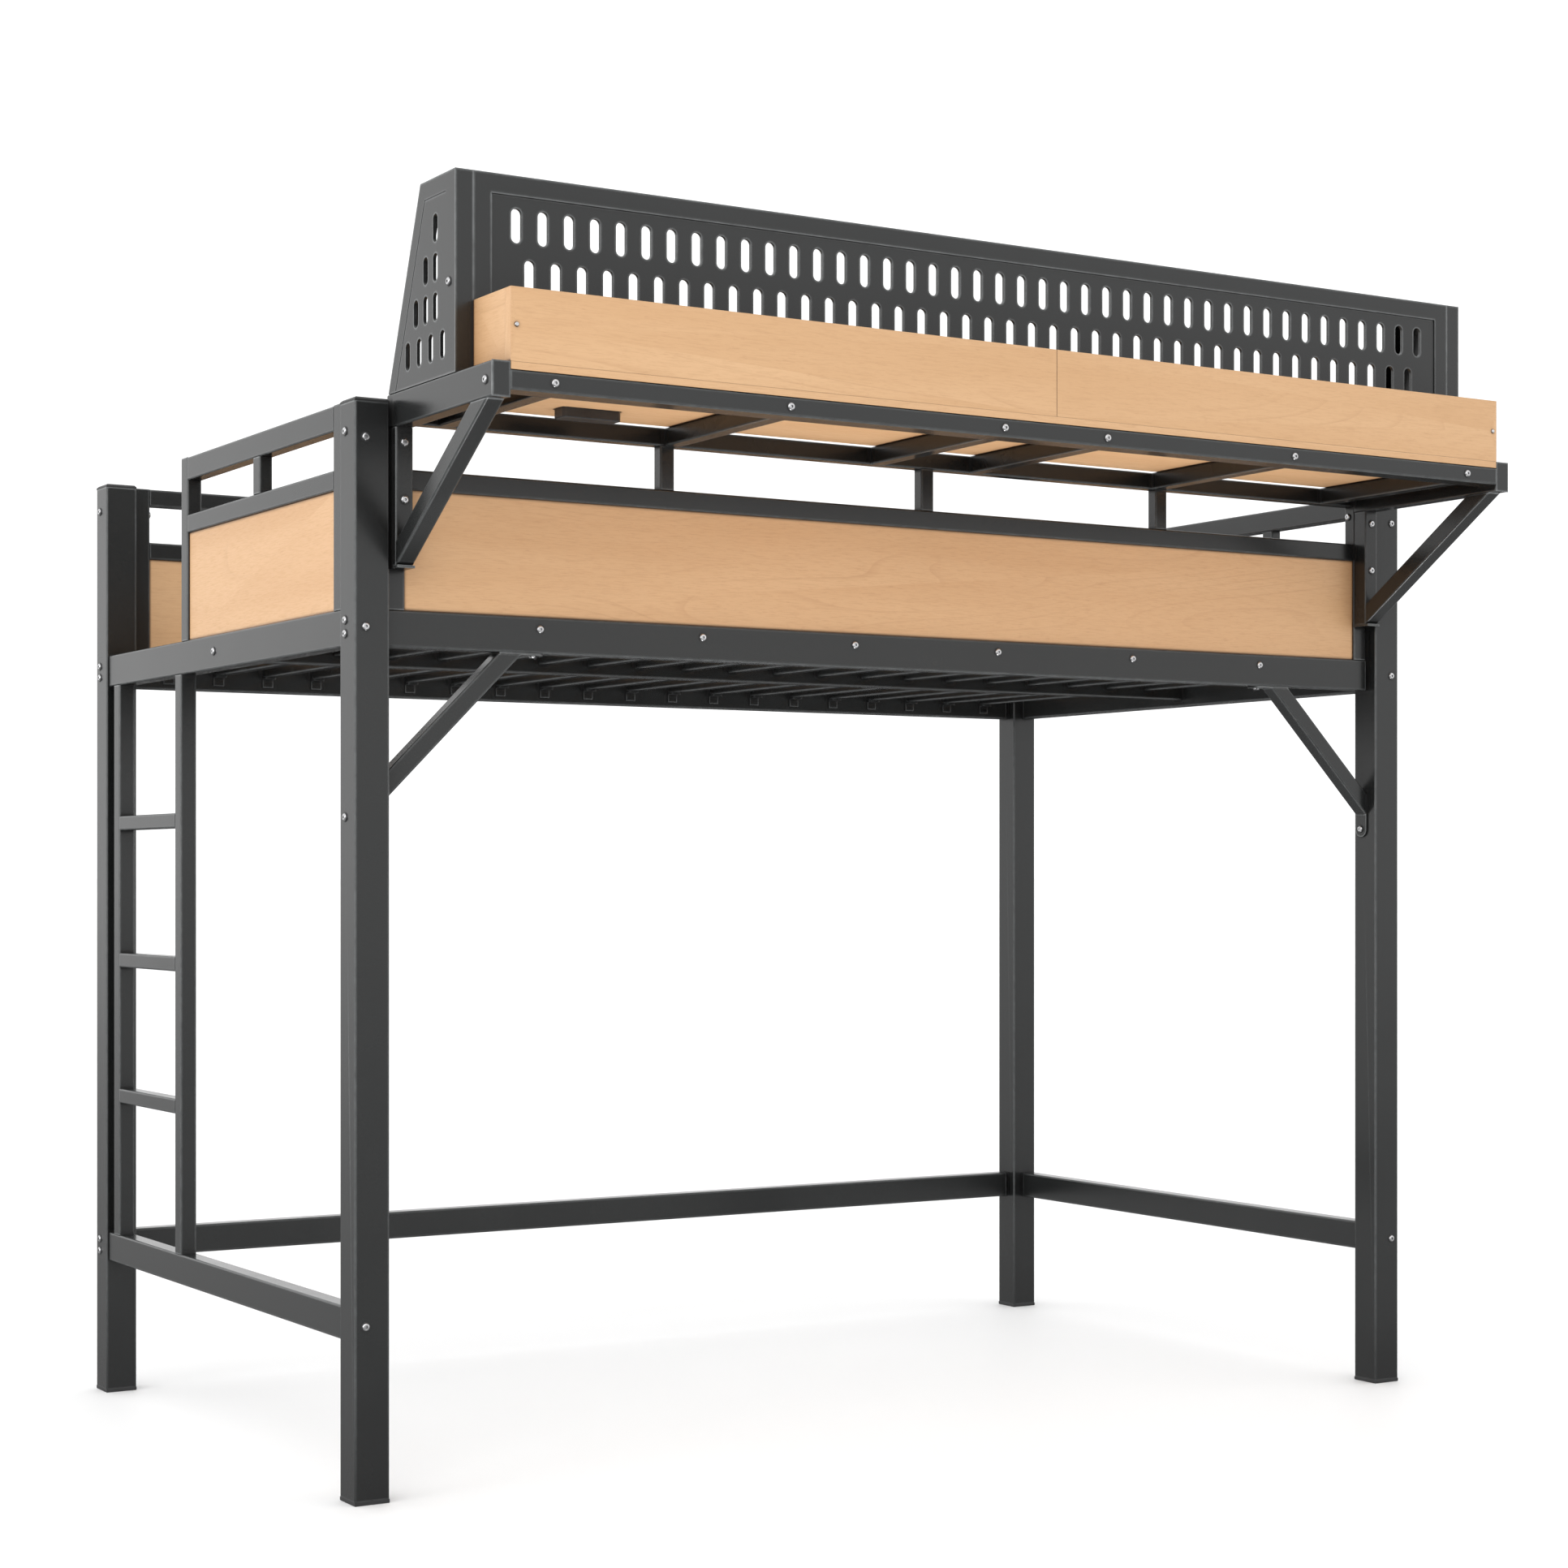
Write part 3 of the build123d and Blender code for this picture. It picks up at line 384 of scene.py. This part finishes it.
black = moulded("black_plastic", BLACK_DARK, BLACK_LIGHT, rough=0.45)
by_slot = {
    "frame_paint": powder_coat(),
    "wood": maple("maple_along_x", "X", seed=0.0),
    "black_plastic": black,
    "power_plastic": moulded("power_plastic", POWER_DARK, POWER_LIGHT, rough=0.38),
    "fastener": bright_steel("plated_fastener", PLATED_TINT, rough=0.16),
    "plug_steel": bright_steel("zinc_plug", ZINC_TINT, rough=0.34),
}
wood_y = maple("maple_along_y", "Y", seed=7.0)

BOARDS_ALONG_Y = ("box_side_boards", "guard_left_panel", "guard_right_panel")
WELD_GAP = 0.01 * MM
SOFT_EDGE = 0.9 * MM
slots = {row["node"]: row["material_slot"] for row in frame["record"]["subparts"]}


def soften(piece):
    """Rounds a board's edges, so that the seam under the box boards shows."""
    weld = piece.modifiers.new("weld", "WELD")
    weld.merge_threshold = WELD_GAP
    bevel = piece.modifiers.new("soft_edges", "BEVEL")
    bevel.width = SOFT_EDGE
    bevel.segments = 2
    bevel.limit_method = "ANGLE"
    bevel.harden_normals = True


for node_name, node_object in nodes.items():
    node_object.data.materials.clear()
    node_object.data.materials.append(wood_y if node_name in BOARDS_ALONG_Y else by_slot[slots[node_name]])
soften(nodes["desktop"])

# ---------------------------------------------------------------- shade rings: black rings put round the bolt heads as painted shade
SHADE_RING_INNER = 5.6 * MM
SHADE_RING_OUTER = 7.1 * MM
SHADE_RING_HIGH = 0.8 * MM
SHADE_RING_CHAMFER = 0.32 * MM
SHADE_RING_TURNS = 32
SAME_POINT = 0.005 * MM
HEAD_RIM = 0.45  # share of the head's width; only the head's rim lies further from the axis


def solids_of(name):
    """Lists of vertex positions, one list for each loose solid of a node."""
    shape = bmesh.new()
    shape.from_mesh(nodes[name].data)
    bmesh.ops.remove_doubles(shape, verts=shape.verts, dist=SAME_POINT)
    seen = set()
    found = []
    for start in shape.verts:  # in index order, so that every run gives the same order
        if start in seen:
            continue
        seen.add(start)
        group = [start]
        for vert in group:  # the group grows while it is walked
            for edge in vert.link_edges:
                other = edge.other_vert(vert)
                if other not in seen:
                    seen.add(other)
                    group.append(other)
        found.append([vert.co.copy() for vert in group])
    shape.free()
    return found


def seat_of(points):
    """Middle of the face under a bolt's head, and the direction from it out of the head."""
    low = Vector(min(p[k] for p in points) for k in range(3))
    high = Vector(max(p[k] for p in points) for k in range(3))
    size = high - low
    middle = (low + high) / 2
    along = max(range(3), key=lambda k: size[k])
    across = [k for k in range(3) if k != along]
    reach = HEAD_RIM * max(size[k] for k in across)
    rim = [p[along] for p in points if sum((p[k] - middle[k]) ** 2 for k in across) > reach**2]
    head_high = sum(rim) / len(rim) > middle[along]
    way = Vector((0, 0, 0))
    way[along] = 1.0 if head_high else -1.0
    seat = middle.copy()
    seat[along] = min(rim) if head_high else max(rim)
    return seat, way


def shade_ring(shape, seat, way):
    """Adds one thin ring with a chamfered top to a mesh."""
    across = way.orthogonal().normalized()
    other = way.cross(across)
    profile = (
        (SHADE_RING_INNER, 0.0),
        (SHADE_RING_OUTER, 0.0),
        (SHADE_RING_OUTER, SHADE_RING_HIGH - SHADE_RING_CHAMFER),
        (SHADE_RING_OUTER - SHADE_RING_CHAMFER, SHADE_RING_HIGH),
        (SHADE_RING_INNER, SHADE_RING_HIGH),
    )
    loops = []
    for k in range(SHADE_RING_TURNS):
        angle = 2 * math.pi * k / SHADE_RING_TURNS
        out = across * math.cos(angle) + other * math.sin(angle)
        loops.append([shape.verts.new(seat + out * r + way * h) for r, h in profile])
    for k, loop in enumerate(loops):
        after = loops[(k + 1) % SHADE_RING_TURNS]
        for i in range(len(profile)):
            j = (i + 1) % len(profile)
            shape.faces.new((loop[i], loop[j], after[j], after[i]))


def shade_rings():
    """Black rings round the heads of the frame bolts, put there as painted shade round each head."""
    shape = bmesh.new()
    for points in solids_of("frame_bolts"):
        shade_ring(shape, *seat_of(points))
    bmesh.ops.recalc_face_normals(shape, faces=shape.faces)
    mesh = bpy.data.meshes.new("bolt_shade_rings")
    shape.to_mesh(mesh)
    shape.free()
    mesh.materials.append(black)
    made = bpy.data.objects.new("bolt_shade_rings", mesh)
    bpy.context.scene.collection.objects.link(made)
    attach(made, "root")


shade_rings()

# ---------------------------------------------------------------- studio
CAMERA_PLACE = (-2.708, -4.362, 0.913)
CAMERA_TURN = -31.51  # degrees about Z; the camera itself is level
SENSOR = 36.0
LENS = 67.2
SHIFT_UP = 0.060
FAR_CLIP = 10000.0
FLOOR_HALF = 3000.0

# the world by height, from 0 straight down to 0.5 at the horizon, as (height, grey)
SKY_STRENGTH = 1.2
GROUND_PALE = ((0.0, 0.30), (0.30, 0.34), (0.44, 0.46), (0.499, 1.0))
GROUND_DARK = ((0.0, 0.30), (0.25, 0.28), (0.38, 0.02), (0.478, 0.02), (0.490, 1.0))
BACK_RIGHT = (0.42, 0.90, 0.0)
BACK_RIGHT_START = 0.70
BACK_RIGHT_FULL = 0.90


def camera():
    """Level camera off the front left corner; only the shift lifts the view."""
    data = bpy.data.cameras.new("camera")
    made = bpy.data.objects.new("camera", data)
    bpy.context.scene.collection.objects.link(made)
    made.location = CAMERA_PLACE
    made.rotation_euler = (math.radians(90), 0, math.radians(CAMERA_TURN))
    data.sensor_width = SENSOR
    data.lens = LENS
    data.shift_y = SHIFT_UP
    data.clip_end = FAR_CLIP
    bpy.context.scene.camera = made


def area_light(name, place, target, size, watts, spread=180.0):
    """Rectangular light that the camera doesn't see; the spread is in degrees."""
    data = bpy.data.lights.new(name, "AREA")
    data.shape = "RECTANGLE"
    data.size, data.size_y = size
    data.energy = watts
    data.spread = math.radians(spread)
    made = bpy.data.objects.new(name, data)
    bpy.context.scene.collection.objects.link(made)
    made.location = place
    made.visible_camera = False
    made.rotation_euler = (Vector(target) - Vector(place)).to_track_quat("-Z", "Y").to_euler()


def floor():
    """Wide pale floor, which reflections don't show; the world stands in for it there."""
    centre = (cad_low + cad_high) / 2
    mesh = bpy.data.meshes.new("studio_floor")
    made = bpy.data.objects.new("studio_floor", mesh)
    bpy.context.scene.collection.objects.link(made)
    shape = bmesh.new()
    bmesh.ops.create_grid(shape, x_segments=4, y_segments=4, size=FLOOR_HALF)
    shape.to_mesh(mesh)
    shape.free()
    made.location = (centre.x, centre.y, 0.0)
    mesh.materials.append(studio_floor())
    made.visible_glossy = False


def world():
    """White above the horizon; below it a pale floor tone, which is dark towards the back right."""
    made = bpy.data.worlds.new("studio")
    bpy.context.scene.world = made
    made.use_nodes = True
    t = Tree(made.node_tree)
    sky = t.tree.nodes["Background"]
    sky.inputs["Strength"].default_value = SKY_STRENGTH
    direction = t.node("ShaderNodeTexCoord").outputs["Generated"]
    split = t.node("ShaderNodeSeparateXYZ")
    t.link(direction, split.inputs[0])
    height = t.grey_ramp(split.outputs["Z"], low=-1.0, high=1.0)
    pale = t.ramp(height, [(position, (grey, grey, grey)) for position, grey in GROUND_PALE])
    dark = t.ramp(height, [(position, (grey, grey, grey)) for position, grey in GROUND_DARK])
    share = t.grey_ramp(t.dot(direction, BACK_RIGHT), BACK_RIGHT_START, BACK_RIGHT_FULL)
    t.link(t.mix(share, pale, dark), sky.inputs["Color"])


camera()
floor()
world()
area_light(
    "key",
    place=(-4.0, -4.2, 4.2),
    target=(0.0, 0.0, 1.1),
    size=(2.5, 2.5),
    watts=48.0,
)
area_light(
    "left_sheen",
    place=(-5.0, 6.0, 3.2),
    target=(-1.0, 0.0, 1.3),
    size=(4.0, 3.0),
    watts=3.0,
)
area_light(
    "left_fill",
    place=(-4.6, -1.0, 1.4),
    target=(-1.0, 0.0, 1.3),
    size=(2.0, 2.0),
    watts=32.0,
)
area_light(
    "desk_fill",
    place=(0.0, -0.55, 0.03),
    target=(0.0, -0.55, 1.6),
    size=(1.7, 0.35),
    watts=2.2,
    spread=40.0,
)
bpy.context.scene.view_settings.view_transform = "Standard"
